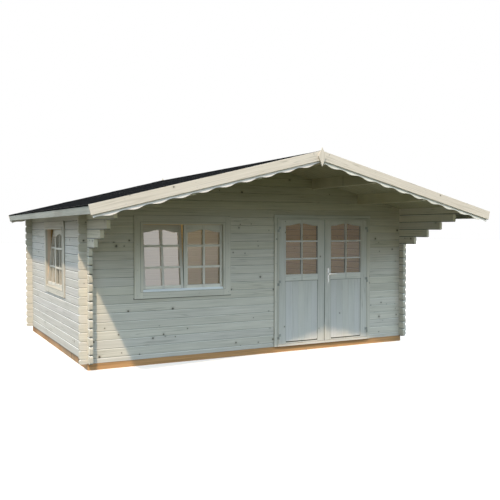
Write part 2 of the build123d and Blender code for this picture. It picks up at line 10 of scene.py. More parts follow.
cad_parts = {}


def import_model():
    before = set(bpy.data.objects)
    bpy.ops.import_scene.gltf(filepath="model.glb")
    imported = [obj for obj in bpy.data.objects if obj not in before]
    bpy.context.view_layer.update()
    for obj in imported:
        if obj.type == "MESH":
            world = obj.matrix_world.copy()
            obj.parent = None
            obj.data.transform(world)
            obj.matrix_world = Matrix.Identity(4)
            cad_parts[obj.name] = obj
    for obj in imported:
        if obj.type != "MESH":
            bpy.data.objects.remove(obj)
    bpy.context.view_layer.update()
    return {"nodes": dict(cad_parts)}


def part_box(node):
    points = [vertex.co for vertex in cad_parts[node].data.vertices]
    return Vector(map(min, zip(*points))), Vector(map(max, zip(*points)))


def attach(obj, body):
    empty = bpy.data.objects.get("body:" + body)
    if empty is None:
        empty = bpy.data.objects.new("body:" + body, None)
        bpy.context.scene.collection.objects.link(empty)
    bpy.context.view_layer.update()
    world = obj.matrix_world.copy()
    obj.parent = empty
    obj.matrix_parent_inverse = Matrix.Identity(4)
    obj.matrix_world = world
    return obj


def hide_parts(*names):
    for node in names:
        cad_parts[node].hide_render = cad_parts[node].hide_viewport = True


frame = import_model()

random.seed(7)

# ---------------------------------------------------------------- sizes
LOG_PITCH = 0.114
ROOF_BOARD = 0.096
FLOOR_BOARD = 0.096
PANEL_BOARDS = 5
STUB = 0.105
BASE_SETBACK = 0.006
base_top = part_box("base_long_beams")[1].z
front_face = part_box("base_long_beams")[0].y - BASE_SETBACK
wall_low, wall_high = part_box("right_wall")
back_face = wall_high.y - STUB
side_face = wall_high.x
log_thickness = wall_high.x - wall_low.x
roof_low, roof_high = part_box("left_barge_boards")
ridge_top = roof_high.z
slope = math.radians(13.9)
slope_length = -roof_low.x / math.cos(slope)


# ---------------------------------------------------------------- shader helpers
class Shader:
    """A material's or the world's node tree, built by short calls that return output sockets."""

    def __init__(self, name, kind=bpy.data.materials, output="ShaderNodeOutputMaterial"):
        self.owner = kind.new(name)
        self.owner.use_nodes = True
        self.tree = self.owner.node_tree
        self.tree.nodes.clear()
        self.output = output

    def put(self, socket, value):
        """Link a socket to another, or set its constant."""
        if isinstance(value, bpy.types.NodeSocket):
            self.tree.links.new(value, socket)
        else:
            socket.default_value = value

    def node(self, kind, inputs=(), **settings):
        """A new node; its inputs are linked or set by their names, or else in their order."""
        made = self.tree.nodes.new(kind)
        for key, value in settings.items():
            setattr(made, key, value)
        named = inputs.items() if isinstance(inputs, dict) else enumerate(inputs)
        for key, value in named:
            self.put(made.inputs[key], value)
        return made

    def math(self, operation, *values):
        return self.node("ShaderNodeMath", values, operation=operation).outputs[0]

    def add(self, a, b):
        return self.math("ADD", a, b)

    def sub(self, a, b):
        return self.math("SUBTRACT", a, b)

    def mul(self, a, b):
        return self.math("MULTIPLY", a, b)

    def scaled(self, a, factor, offset):
        return self.math("MULTIPLY_ADD", a, factor, offset)

    def step(self, value, low, high):
        """Smooth rise from 0 at low to 1 at high; low may be the larger."""
        inputs = (value, low, high, 0.0, 1.0)
        return self.node("ShaderNodeMapRange", inputs, interpolation_type="SMOOTHSTEP").outputs[0]

    def mix(self, amount, a, b, blend="MIX", data_type="RGBA"):
        """Mix two colours."""
        inputs = {"Factor": amount, "A": a, "B": b}
        made = self.node("ShaderNodeMix", inputs, data_type=data_type, blend_type=blend)
        return made.outputs["Result"]

    def blend_values(self, amount, a, b):
        """Mix two numbers."""
        return self.mix(amount, a, b, data_type="FLOAT")

    def vector(self, x, y, z):
        return self.node("ShaderNodeCombineXYZ", (x, y, z)).outputs[0]

    def split(self, vector):
        return self.node("ShaderNodeSeparateXYZ", (vector,)).outputs

    def coordinates(self, kind="Object"):
        return self.node("ShaderNodeTexCoord").outputs[kind]

    def dot(self, vector, direction):
        made = self.node("ShaderNodeVectorMath", (vector, direction), operation="DOT_PRODUCT")
        return made.outputs["Value"]

    def noise(self, vector, scale, detail=3.0, roughness=0.5):
        inputs = {"Vector": vector, "Scale": scale, "Detail": detail, "Roughness": roughness}
        return self.node("ShaderNodeTexNoise", inputs).outputs["Fac"]

    def chance(self, value):
        """Three random numbers for each whole number."""
        made = self.node("ShaderNodeTexWhiteNoise", {"W": value}, noise_dimensions="1D")
        return self.split(made.outputs["Color"])

    def bump(self, height, strength, distance):
        inputs = {"Height": height, "Strength": strength, "Distance": distance}
        return self.node("ShaderNodeBump", inputs).outputs[0]

    def surface(self, color, roughness, normal, **constants):
        """Finish with a Principled surface; constants go to the inputs of the same names."""
        inputs = {"Base Color": color, "Roughness": roughness, "Normal": normal}
        inputs.update({key.replace("_", " "): value for key, value in constants.items()})
        return self.finish(self.node("ShaderNodeBsdfPrincipled", inputs).outputs[0])

    def direct_ray(self):
        """1 for what the camera sees, straight or by way of glass and metal."""
        seen = self.node("ShaderNodeLightPath").outputs
        mirrored = self.math("MAXIMUM", seen["Is Glossy Ray"], seen["Is Transmission Ray"])
        return self.math("MAXIMUM", seen["Is Camera Ray"], mirrored)

    def mix_shaders(self, amount, a, b):
        return self.node("ShaderNodeMixShader", (amount, a, b)).outputs[0]

    def finish(self, shader):
        self.node(self.output, {"Surface": shader})
        return self.owner


def srgb(red, green, blue):
    """A screen colour, 0 to 255, as the linear colour that shaders use."""
    def linear(value):
        value /= 255
        return value / 12.92 if value <= 0.04045 else ((value + 0.055) / 1.055) ** 2.4
    return (linear(red), linear(green), linear(blue), 1.0)


AXES = {"x": Vector((1, 0, 0)), "y": Vector((0, 1, 0)), "z": Vector((0, 0, 1))}


# ---------------------------------------------------------------- wood
WHITE = (1.0, 1.0, 1.0, 1.0)
PALE = srgb(220, 213, 201)
PALE_STREAK = srgb(184, 179, 165)
DARK_LINE = srgb(120, 116, 100)
# Painted highlight: the pale bevel below a joint, where the sun would catch it.
BEVEL_HIGHLIGHT_COLOUR = srgb(250, 248, 244)
NATURAL = srgb(226, 200, 146)
NATURAL_STREAK = srgb(192, 160, 104)
NATURAL_KNOT = srgb(84, 48, 26)
NATURAL_JOINT = srgb(96, 66, 40)
KNOT = srgb(58, 54, 46)
KNOT_RING = srgb(134, 126, 108)
# Dirt and painted shade at joints, and painted shade round trims and panels.
DIRT_AND_SHADE = srgb(84, 83, 72)
COOL_TINT = (0.79, 0.81, 0.87, 1.0)
# Painted shade: tints that darken the wood under the roof, under the eaves, near the ridge, and at the
# top of the base under the logs.
GABLE_SHADE = (0.44, 0.44, 0.31, 1.0)
EAVE_SHADE = (0.60, 0.59, 0.50, 1.0)
RIDGE_SHADE = (0.62, 0.60, 0.50, 1.0)
BASE_SHADE = (0.60, 0.56, 0.50, 1.0)
END_TINT = (0.85, 0.833, 0.799, 1.0)

# How often the pattern repeats in a metre, across the grain.
FIBRES = 210.0
BANDS = 48.0
SWIRLS = 30.0
FIGURE = 1 / 0.017
GROWTH_RINGS = 1 / 0.0042
KNOT_BEND = 0.010
KNOT_CELL = 0.2
SEAM_WIDTH = 0.0006
WOOD_ROUGHNESS = 0.56


class Grain(Shader):
    """A wood material in the making, which knows where on its board each point lies.

    along, across and through say where, in metres. luck is three random numbers for each board,
    and shifted is along moved by luck, so that boards differ.
    """

    def __init__(self, name, along, across, board, first, upright, seed):
        super().__init__(name)
        self.place = self.coordinates()
        self.normal = self.coordinates("Normal")
        self.height = self.split(self.place)[2]
        self.along = self.dot(self.place, along)
        self.across = self.dot(self.place, across)
        self.through = self.dot(self.place, along.cross(across))
        self.end_facing = self.math("ABSOLUTE", self.dot(self.normal, along))
        self.band = 0.0
        self.seam = 0.0
        if upright:
            self.turn(upright, across)
        self.board = board
        steps = self.scaled(self.across, 1 / board, -first / board)
        self.inside_board = self.mul(self.math("FRACT", steps), board)
        self.luck = self.chance(self.add(self.math("FLOOR", steps), seed + 0.5))
        self.shifted = self.scaled(self.luck[0], 37.0, self.along)

    def distance_to(self, axis, middle):
        return self.math("ABSOLUTE", self.sub(self.dot(self.place, AXES[axis]), middle))

    def within(self, axis, middle, half):
        """1 in a band about a place on an axis."""
        return self.math("LESS_THAN", self.distance_to(axis, middle), half)

    def turn(self, upright, across):
        """Turn the grain in the upright members, with a seam where the others butt on them."""
        for axis, middle, half in upright:
            self.band = self.math("MAXIMUM", self.band, self.within(axis, middle, half))
            rim = self.math("ABSOLUTE", self.sub(self.distance_to(axis, middle), half))
            self.seam = self.math("MAXIMUM", self.seam, self.math("LESS_THAN", rim, SEAM_WIDTH))
        side_facing = self.math("ABSOLUTE", self.dot(self.normal, across))
        self.end_facing = self.blend_values(self.band, self.end_facing, side_facing)
        run, spread = self.along, self.across
        self.along = self.blend_values(self.band, run, spread)
        self.across = self.blend_values(self.band, spread, run)

    def tinted(self, color, tint, amount=1.0):
        """Multiply by a colour, or by one number in all three channels."""
        if isinstance(tint, bpy.types.NodeSocket) and tint.type == "VALUE":
            tint = self.vector(tint, tint, tint)
        return self.mix(amount, color, tint, "MULTIPLY")

    def rising(self, bottom, top, factor):
        """A number that goes from 1 to a factor between two heights."""
        return self.scaled(self.step(self.height, bottom, top), factor - 1.0, 1.0)

    def stretched(self, run, across, through, detail, roughness=0.5, scale=1.0):
        """Noise drawn out along the grain."""
        place = self.vector(self.mul(self.shifted, run), across, through)
        return self.noise(place, scale, detail, roughness)

    def knots(self, share, size):
        """Scattered knots: their dark cores, the halos in which the grain bends, and dark rims."""
        scattered = self.vector(self.shifted, self.scaled(self.luck[1], 11.0, self.across), 0.0)
        spots = self.node("ShaderNodeTexVoronoi", {"Vector": scattered, "Scale": 1 / KNOT_CELL},
                          voronoi_dimensions="2D", feature="F1")
        luck = self.split(spots.outputs["Color"])
        wobble = self.noise(self.vector(self.shifted, self.across, self.through), 60.0, 2.0)
        ragged = self.scaled(wobble, 0.008, -0.004)
        distance = self.scaled(spots.outputs["Distance"], KNOT_CELL, ragged)
        kept = self.math("LESS_THAN", luck[1], share)
        radius = self.scaled(self.math("POWER", luck[0], 2.0), 1.5 * size, 0.5 * size)
        core = self.mul(kept, self.step(distance, radius, self.mul(radius, 0.6)))
        halo = self.mul(kept, self.step(distance, self.mul(radius, 4.0), radius))
        around = self.step(distance, self.mul(radius, 1.7), self.mul(radius, 1.1))
        return core, halo, self.mul(kept, self.mul(around, self.sub(1.0, core)))

    def figure(self, halo):
        """The tone of the grain, from 0 pale to 1 dark, and the fine dark lines in it."""
        bent = self.scaled(halo, KNOT_BEND, self.across)
        each = self.mul(self.luck[2], 9.0)
        deep = self.mul(self.through, FIBRES)
        fibres = self.stretched(2.2, self.mul(bent, FIBRES), deep, 4.0, 0.6)
        bands = self.stretched(1.3, self.mul(bent, BANDS), each, 2.0)
        drift = self.stretched(0.9, self.mul(self.across, 9.0), each, 2.0)
        phase = self.add(self.mul(bent, 2 * math.pi * FIGURE), self.mul(drift, 30.0))
        waves = self.math("POWER", self.scaled(self.math("SINE", phase), 0.5, 0.5), 3.0)
        fine = self.mul(self.step(fibres, 0.3, 0.75), 0.35)
        broad = self.mul(self.step(bands, 0.35, 0.7), 0.4)
        tone = self.add(self.add(fine, broad), self.mul(waves, 0.25))
        swirl = self.stretched(0.8, self.mul(bent, SWIRLS), self.mul(self.luck[0], 9.0), 1.0)
        contour = self.math("ABSOLUTE", self.sub(swirl, 0.5))
        return tone, self.mul(self.step(contour, 0.035, 0.0), self.step(drift, 0.42, 0.6))

    def lifted(self, variation):
        """How pale each board is, with slow patches along it."""
        across, through = self.mul(self.across, 3.0), self.mul(self.through, 3.0)
        patches = self.stretched(1.1, across, through, 3.0, scale=1.4)
        each = self.scaled(self.luck[1], 2 * variation, 1.0 - variation)
        return self.mul(each, self.scaled(patches, 0.2, 0.9))

    def outlined(self, color, shade_outlines, uneven):
        """Painted shade, with a little dirt: dark lines round the rectangles that trims and panels
        cover.
        """
        for axis, middle, half, bottom, top, line, depth in shade_outlines:
            sideways = self.sub(self.distance_to(axis, middle), half)
            upwards = self.sub(self.distance_to("z", (bottom + top) / 2), (top - bottom) / 2)
            beyond = self.math("MAXIMUM", sideways, upwards)
            nearness = self.math("ABSOLUTE", self.sub(beyond, line / 2))
            strength = self.math("MINIMUM", self.scaled(uneven, 0.7 * depth, 0.25 * depth), 1.0)
            rim = self.mul(self.step(nearness, line / 2, line / 4), strength)
            color = self.mix(rim, color, DIRT_AND_SHADE)
        return color

    def end_grain(self, pale, streak, joint_dirt_and_shade):
        """The colour of sawn ends, and their growth rings about each board's own pith."""
        sideways = self.sub(self.inside_board,
                            self.scaled(self.luck[0], self.board * 0.5, self.board * 0.1))
        through = self.scaled(self.luck[1], 0.05, self.add(self.through, -0.03))
        spoke = self.vector(sideways, through, 0.0)
        radius = self.node("ShaderNodeVectorMath", (spoke,), operation="LENGTH")
        wobble = self.mul(self.noise(self.place, 22.0, 2.0), 0.012)
        turns = self.mul(self.add(radius.outputs["Value"], wobble), 2 * math.pi * GROWTH_RINGS)
        rings = self.math("SINE", turns)
        color = self.tinted(self.mix(self.scaled(rings, 0.2, 0.35), pale, streak), END_TINT)
        # Dirt and painted shade at the joints carry onto the sawn ends.
        dirt_and_shade = self.math("MINIMUM", self.mul(joint_dirt_and_shade, 1.3), 1.0)
        return self.mix(dirt_and_shade, color, DIRT_AND_SHADE), rings

    def indoors(self, raw_from, raw_edges):
        """1 inside the room, from a depth in the walls, and on bare edges of a frame."""
        x, y = self.split(self.place)[:2]
        between_sides = self.math("LESS_THAN", self.math("ABSOLUTE", x), side_face - raw_from)
        behind_front = self.math("GREATER_THAN", y, front_face + raw_from)
        before_back = self.math("LESS_THAN", y, back_face - raw_from)
        room = self.mul(between_sides, self.mul(behind_front, before_back))
        for axis, middle, half in raw_edges:
            faces_axis = self.math("ABSOLUTE", self.dot(self.normal, AXES[axis]))
            square_on = self.math("GREATER_THAN", faces_axis, 0.9)
            edge = self.mul(square_on, self.within(axis, middle, half))
            room = self.math("MAXIMUM", room, edge)
        return room

    def bare_wood(self, colors, shade, tone, lift, core, joint_dirt_and_shade):
        """Unpainted wood."""
        color = self.mix(self.mul(tone, 0.8), *colors)
        dimmed = self.mul(lift, shade)
        color = self.tinted(color, self.vector(dimmed, self.mul(dimmed, shade ** 0.2), dimmed))
        color = self.mix(self.mul(core, 0.8), color, NATURAL_KNOT)
        # Dirt and painted shade at the joints of the bare wood.
        return self.mix(self.math("MINIMUM", self.mul(joint_dirt_and_shade, 0.4), 1.0), color, NATURAL_JOINT)


def wood(name, along, across, board, first, pale=PALE, streak=PALE_STREAK, knots=0.18,
         knot_size=0.010, joint=0.35, groove=0.011, streaks=0.75, variation=0.05, seed=0.0,
         upright=(), rails=None, raw_from=None, raw_edges=(), bare=(NATURAL, NATURAL_STREAK),
         bare_shade=1.0, cool=None, shade_outlines=(), shaded=None, painted_top_shading=None, bevel_highlight=0.0,
         end_light=None):
    """Planed wood. along and across are directions; boards repeat across from a first joint.

    upright lists bands (axis, middle, half width) in which the grain runs up instead, and rails,
    a (factor, top), makes the other members that much paler below a height.
    raw_from is how far into the wall the bare wood inside starts, and raw_edges lists bands in
    which faces that look along the axis are bare too. bare holds the two colours of that wood,
    and bare_shade dims it.
    cool is a band that is a little bluer, and that keeps the painted shade of shaded to itself.
    shade_outlines lists (axis, middle, half width, bottom, top, line, depth) of trims and panels,
    round which a dark line of painted shade, with a little dirt, of that width and depth of tone runs.
    shaded is (bottom, top, tint): painted shade; the wood takes the tint gradually between the
    heights.
    painted_top_shading is (amount, colour): the faces that look up take the colour, a painted
    highlight where it is paler and painted shade where it is darker.
    joint is how dark the dirt and painted shade at a joint are, and groove how far they spread.
    bevel_highlight is how pale the painted highlight on the bevel below each joint is, and then the
    dirt and painted shade stay above the joint, in its undercut.
    end_light is (bottom, top, factor): painted light; end grain gets paler by the factor between the
    heights.
    """
    s = Grain(name, along, across, board, first, upright, seed)
    core, halo, ring = s.knots(knots, knot_size)
    tone, lines = s.figure(halo)
    lift = s.lifted(variation)
    color = s.mix(s.mul(tone, streaks), pale, streak)
    color = s.mix(s.mul(lines, 0.45 * streaks), color, DARK_LINE)
    if cool:
        color = s.tinted(color, COOL_TINT, s.within(*cool))
    yellow = s.mul(lift, s.scaled(s.luck[2], 0.05, 0.975))
    color = s.tinted(color, s.vector(lift, lift, yellow))
    if rails:
        factor, top = rails
        lying = s.mul(s.sub(1.0, s.band), s.step(s.height, top + 0.01, top))
        color = s.tinted(color, s.scaled(lying, factor - 1.0, 1.0))
    color = s.mix(s.mul(halo, 0.16), color, KNOT_RING)
    color = s.mix(s.mul(ring, 0.5), color, KNOT_RING)
    color = s.mix(s.mul(core, 0.9), color, KNOT)

    above, below = s.inside_board, s.sub(board, s.inside_board)
    edge = s.math("MINIMUM", above, below)
    # Painted highlight on the bevel below each joint; the dirt and painted shade then keep to the
    # undercut above it.
    if bevel_highlight:
        edge = above
        color = s.mix(s.mul(s.step(below, 0.008, 0.003), bevel_highlight), color, BEVEL_HIGHLIGHT_COLOUR)
    uneven = s.stretched(2.1, s.luck[1], 0.0, 2.0)
    # Dirt and painted shade in the joints, uneven along them, and a dark line at the seams.
    joint_dirt_and_shade = s.mul(s.step(edge, groove, 0.001), s.mul(s.scaled(uneven, 1.8, 0.1), joint))
    color = s.mix(s.math("MINIMUM", s.add(joint_dirt_and_shade, s.mul(s.seam, 0.55)), 1.0), color, DIRT_AND_SHADE)
    # Painted shade: dark lines round trims and panels.
    color = s.outlined(color, shade_outlines, uneven)
    # Painted shade, deepening between two heights.
    if shaded:
        bottom, top, tint = shaded
        rise = s.step(s.height, bottom, top)
        if cool:
            rise = s.mul(rise, s.within(*cool))
        color = s.tinted(color, tint, rise)

    end = s.math("GREATER_THAN", s.end_facing, 0.75)
    end_color, rings = s.end_grain(pale, streak, joint_dirt_and_shade)
    # Painted light: the end grain gets paler higher up.
    if end_light:
        end_color = s.tinted(end_color, s.rising(*end_light))
    color = s.mix(end, color, end_color)
    if raw_from is not None:
        raw = s.bare_wood(bare, bare_shade, tone, lift, core, joint_dirt_and_shade)
        color = s.mix(s.indoors(raw_from, raw_edges), color, raw)
    # Painted highlight and painted shade on the faces that look up.
    if painted_top_shading:
        amount, tint = painted_top_shading
        upward = s.step(s.split(s.normal)[2], 0.3, 0.7)
        color = s.mix(s.mul(upward, amount), color, tint)

    relief = s.add(s.add(s.mul(tone, -0.5), s.mul(core, 0.6)), s.mul(lines, -0.3))
    relief = s.blend_values(end, relief, s.mul(rings, 0.3))
    shine = s.scaled(tone, 0.16, WOOD_ROUGHNESS)
    return s.surface(color, shine, s.bump(relief, 0.35, 0.0012), Specular_IOR_Level=0.28)


def coat(material, *nodes):
    """Give construction pieces one material."""
    for node in nodes:
        slots = frame["nodes"][node].data.materials
        slots.clear()
        slots.append(material)


def slope_ways(turn):
    """Down a slope of the roof, and square to it; turn is -1 on the left and 1 on the right."""
    down = Vector((turn * math.cos(slope), 0, -math.sin(slope)))
    square = Vector((turn * math.sin(slope), 0, math.cos(slope)))
    return down, square


x_way, y_way, z_way = AXES.values()
SLOPES = {"left": slope_ways(-1), "right": slope_ways(1)}
# Widths of the painted shade lines round trims and of the painted shadow under a window's lowest trim.
TRIM_SHADE_LINE = 0.006
FOOT_SHADOW_LINE = 0.012
# A margin, so that a band covers the whole of its member.
THIN = 0.002


def trim_outline(axis, *nodes):
    """The rectangle that a trim covers: axis, middle, half width, bottom, top, line and depth; the
    last two are the width and darkness of the painted shade line round it.
    """
    corners = [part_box(node) for node in nodes]
    first = min(getattr(low, axis) for low, high in corners)
    last = max(getattr(high, axis) for low, high in corners)
    bottom = min(low.z for low, high in corners)
    top = max(high.z for low, high in corners)
    return (axis, (first + last) / 2, (last - first) / 2, bottom, top, TRIM_SHADE_LINE, 1.0)


def trim_foot_shadow(axis, node):
    """The broader line of painted shadow along the foot of a window's lowest trim."""
    axis, middle, half, bottom = trim_outline(axis, node)[:4]
    return (axis, middle, half, bottom, bottom + THIN, FOOT_SHADOW_LINE, 1.5)


# The logs: walls along x and along y, with bare wood on the inner half.
wall_middle = (front_face + back_face) / 2
between_corners = (back_face - front_face) / 2 - log_thickness
# Painted shade lines round the windows and the door, and painted shadow under the windows' lowest
# trims.
front_shade_outlines = [trim_outline("x", "front_window_frame"), trim_foot_shadow("x", "front_window_frame"),
                  trim_outline("x", "door_jambs", "door_head")]
side_shade_outlines = [trim_outline("y", "side_window_frame"), trim_foot_shadow("y", "side_window_frame")]
# The logs get a painted highlight on the bevel below each joint, with dirt and painted shade above it.
logs_x = dict(along=x_way, across=z_way, board=LOG_PITCH, first=base_top + LOG_PITCH / 2,
              raw_from=log_thickness / 2, bevel_highlight=0.35)
# The side logs: painted light on their end grain higher up, and painted shade under the eaves.
logs_y = dict(along=y_way, across=z_way, board=LOG_PITCH, first=base_top,
              raw_from=log_thickness / 2, seed=40.0, bevel_highlight=0.75, joint=1.6, groove=0.014,
              end_light=(1.1, 1.7, 1.8), cool=("y", wall_middle, between_corners),
              shaded=(1.76, 2.02, EAVE_SHADE))
# The front wall and gable darken towards the roof: painted shade.
front_logs = dict(shade_outlines=front_shade_outlines, shaded=(1.6, 2.55, GABLE_SHADE), **logs_x)
coat(wood("front_logs", joint=0.45, knots=0.34, knot_size=0.009, **front_logs),
     "front_wall_left", "front_wall_right")
coat(wood("front_gable_logs", joint=0.35, **front_logs), "front_gable")
coat(wood("back_logs", joint=0.45, **logs_x), "back_wall")
coat(wood("back_gable_logs", joint=0.45, **logs_x), "back_gable")
coat(wood("left_logs", shade_outlines=side_shade_outlines, **logs_y), "left_wall", "left_eave_logs")
coat(wood("right_logs", **logs_y), "right_wall", "right_eave_logs")

# The base and the floor.
beams = dict(joint=0.0, streaks=0.9, knots=0.3)
coat(wood("long_beams", x_way, z_way, 0.2, -0.05, pale=srgb(213, 163, 112),
          streak=srgb(158, 115, 72), **beams), "base_long_beams")
# The cross beams darken towards their tops: painted shade under the logs.
coat(wood("cross_beams", y_way, x_way, 0.5, -0.25, pale=srgb(177, 137, 95),
          streak=srgb(132, 96, 60), shaded=(0.35 * base_top, base_top, BASE_SHADE), **beams),
     "base_cross_beams")
coat(wood("floor_boards_wood", x_way, y_way, FLOOR_BOARD, wall_middle, pale=srgb(214, 178, 128),
          streak=srgb(176, 132, 84)), "floor_boards")

# The roof from below, and its edges.
# Painted shade on the roof boards and purlins near the ridge.
shade_near_ridge = (2.3, 2.75, RIDGE_SHADE)
for side, seed in (("right", 0.0), ("left", 9.0)):
    coat(wood(f"{side}_boards", SLOPES[side][0], y_way, ROOF_BOARD, 0.0, seed=seed,
              pale=srgb(147, 145, 117), streak=srgb(113, 109, 82), shaded=shade_near_ridge),
         f"{side}_roof_boards")
# The purlins are paler than the roof boards: painted light on their sides.
coat(wood("purlin_wood", y_way, x_way, 0.85, -0.425, joint=0.0, pale=srgb(196, 190, 164),
          streak=srgb(162, 155, 126), shaded=shade_near_ridge),
     "left_purlins", "right_purlins", "ridge_purlin")
barge = dict(pale=srgb(210, 200, 187), streak=srgb(186, 175, 160), joint=0.0, streaks=0.9,
             variation=0.02, knots=0.14, knot_size=0.006)
scallop = dict(joint=0.0, streaks=0.8, variation=0.02, knots=0.0, seed=3.0)
# The left scallop board is paler than the right: painted light, for the sun that the barge board's
# shadow keeps off its lobes.
for side, pale, streak in (("left", srgb(234, 225, 218), srgb(216, 207, 199)),
                           ("right", srgb(226, 222, 214), srgb(206, 202, 192))):
    down, square = SLOPES[side]
    coat(wood(f"{side}_barge", down, square, 3.0, 1.5, seed=3.0, **barge), f"{side}_barge_boards")
    coat(wood(f"{side}_scallop", down, square, 3.0, 1.5, pale=pale, streak=streak, **scallop),
         f"{side}_scalloped_boards")
coat(wood("finial_wood", z_way, x_way, 1.0, -0.5, **barge), "ridge_finials")
coat(wood("eave_wood", y_way, x_way, 3.0, -6.0, pale=srgb(164, 166, 159),
          streak=srgb(140, 142, 133), joint=0.0, knots=0.1), "eave_boards")


# ---------------------------------------------------------------- frames, sashes and door
WINDOW_CLEAR = 1.168
WINDOW_TRIM = 0.085
DOOR_TRIM = 0.044
WINDOW_EDGE = 0.117
SASH_STILE = 0.038
SASH_FRONT = 0.005
SASH_RAIL_DROP = 0.12
BAR = 0.028
ONE_BOARD = (4.0, -1.0)
trim = dict(joint=0.0, streaks=0.6, knots=0.12, knot_size=0.006)
# The window paints darken towards the top: painted shade under the roof.
front_paint = dict(pale=srgb(230, 223, 212), streak=srgb(194, 189, 176),
                   shaded=(1.3, 2.0, (0.74, 0.74, 0.72, 1.0)), bare_shade=0.5, **trim)
side_paint = dict(pale=srgb(204, 198, 188), streak=srgb(172, 167, 155),
                  shaded=(1.6, 1.95, (0.80, 0.80, 0.78, 1.0)),
                  bare=(srgb(226, 206, 184), srgb(196, 170, 148)), **trim)


def casing_shade_line(axis, node, trim_width):
    """The line of painted shade where the trim of a window or the door meets its casing."""
    axis, middle, half, bottom, top, line, depth = trim_outline(axis, node)
    inset = trim_width + line / 2
    return (axis, middle, half - inset, bottom + inset, top - inset, line, depth)


def window_bands(axis, middle):
    """The upright members of a double window's casing."""
    half = (WINDOW_EDGE + THIN) / 2
    outer = (WINDOW_CLEAR + WINDOW_EDGE) / 2
    return [(axis, middle - outer, half), (axis, middle + outer, half)]


def sash_bands(axis, middle):
    """The upright members of two sashes: stiles and glazing bars."""
    bands = []
    half = WINDOW_CLEAR / 4
    for sash in (middle - half, middle + half):
        bands.append((axis, sash, BAR / 2))
        bands.append((axis, sash - half + SASH_STILE / 2, SASH_STILE / 2 + THIN))
        bands.append((axis, sash + half - SASH_STILE / 2, SASH_STILE / 2 + THIN))
    return bands


def window(name, axis, way, seed, paint, painted_top_shading):
    """The casing and the two sashes of a window."""
    low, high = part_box(f"{name}_window_frame")
    middle = getattr((low + high) / 2, axis)
    rails = (1.12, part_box(f"{name}_window_sashes")[1].z - SASH_RAIL_DROP)
    coat(wood(f"{name}_casing", way, z_way, *ONE_BOARD, seed=21.0, raw_from=SASH_FRONT + 2 * THIN,
              upright=window_bands(axis, middle), painted_top_shading=painted_top_shading,
              shade_outlines=[casing_shade_line(axis, f"{name}_window_frame", WINDOW_TRIM)], **paint),
         f"{name}_window_frame")
    coat(wood(f"{name}_sash_wood", way, z_way, *ONE_BOARD, seed=seed, rails=rails,
              upright=sash_bands(axis, middle), raw_edges=[(axis, middle, 3 * THIN)], **paint),
         f"{name}_window_sashes")


# The front sill gets a painted highlight, the sunlit side sill painted shade.
window("front", "x", x_way, 5.0, front_paint, (0.85, srgb(252, 253, 255)))
window("side", "y", y_way, 6.0, side_paint, (0.6, srgb(168, 158, 140)))

axis, middle, half = casing_shade_line("x", "door_jambs", DOOR_TRIM)[:3]
under_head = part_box("door_jambs")[1].z - TRIM_SHADE_LINE / 2
# The doorway darkens towards the top: painted shade under the roof.
doorway = dict(shade_outlines=[(axis, middle, half, -1.0, under_head, TRIM_SHADE_LINE, 1.0)],
               shaded=(1.5, 2.05, (0.80, 0.84, 0.84, 1.0)), **trim)
coat(wood("jamb_wood", z_way, x_way, 0.4, 0.0, seed=2.0, **doorway), "door_jambs")
coat(wood("door_head_wood", x_way, z_way, *ONE_BOARD, seed=8.0, **doorway),
     "door_head", "door_threshold")

LEAF_STILE = 0.117
LEAF_BAR = 0.022
LEAF_RAIL_DROP = 0.13
# Width of the painted shadow along a panel's foot.
PANEL_FOOT_SHADOW = 0.024
door_finish = dict(pale=srgb(213, 209, 203), streak=srgb(189, 185, 178), knot_size=0.007,
                   variation=0.02, joint=0.0)


def leaf(side, streaks, knots):
    """A leaf of the door: its frame, and its panel of narrow boards."""
    low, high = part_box(f"{side}_leaf_panel")
    middle = (low.x + high.x) / 2
    half = (high.x - low.x) / 2
    stile = half + LEAF_STILE / 2
    bands = [("x", middle, LEAF_BAR / 2), ("x", middle - stile, LEAF_STILE / 2),
             ("x", middle + stile, LEAF_STILE / 2)]
    # Painted shade round each panel, and a broad painted shadow along its foot, where the panel would
    # cast it on the rail.
    panel_edge_shade = ("x", middle, half, low.z, high.z, 0.005, 0.8)
    panel_foot_shadow = ("x", middle, half - PANEL_FOOT_SHADOW, low.z, low.z + THIN, PANEL_FOOT_SHADOW, 2.0)
    panel_head_shade = ("x", middle, half, high.z - THIN, high.z, 0.010, 1.0)
    rails = (1.2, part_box(f"{side}_leaf_frame")[1].z - LEAF_RAIL_DROP)
    coat(wood(f"{side}_leaf_wood", x_way, z_way, *ONE_BOARD, upright=bands, seed=12.0, rails=rails,
              shade_outlines=[panel_edge_shade, panel_foot_shadow, panel_head_shade], **door_finish), f"{side}_leaf_frame")
    coat(wood(f"{side}_panel_wood", z_way, x_way, 2 * half / PANEL_BOARDS, low.x, seed=15.0,
              bevel_highlight=0.25, streaks=streaks, knots=knots, **door_finish), f"{side}_leaf_panel")


leaf("left", streaks=0.3, knots=0.05)
leaf("right", streaks=0.55, knots=0.14)


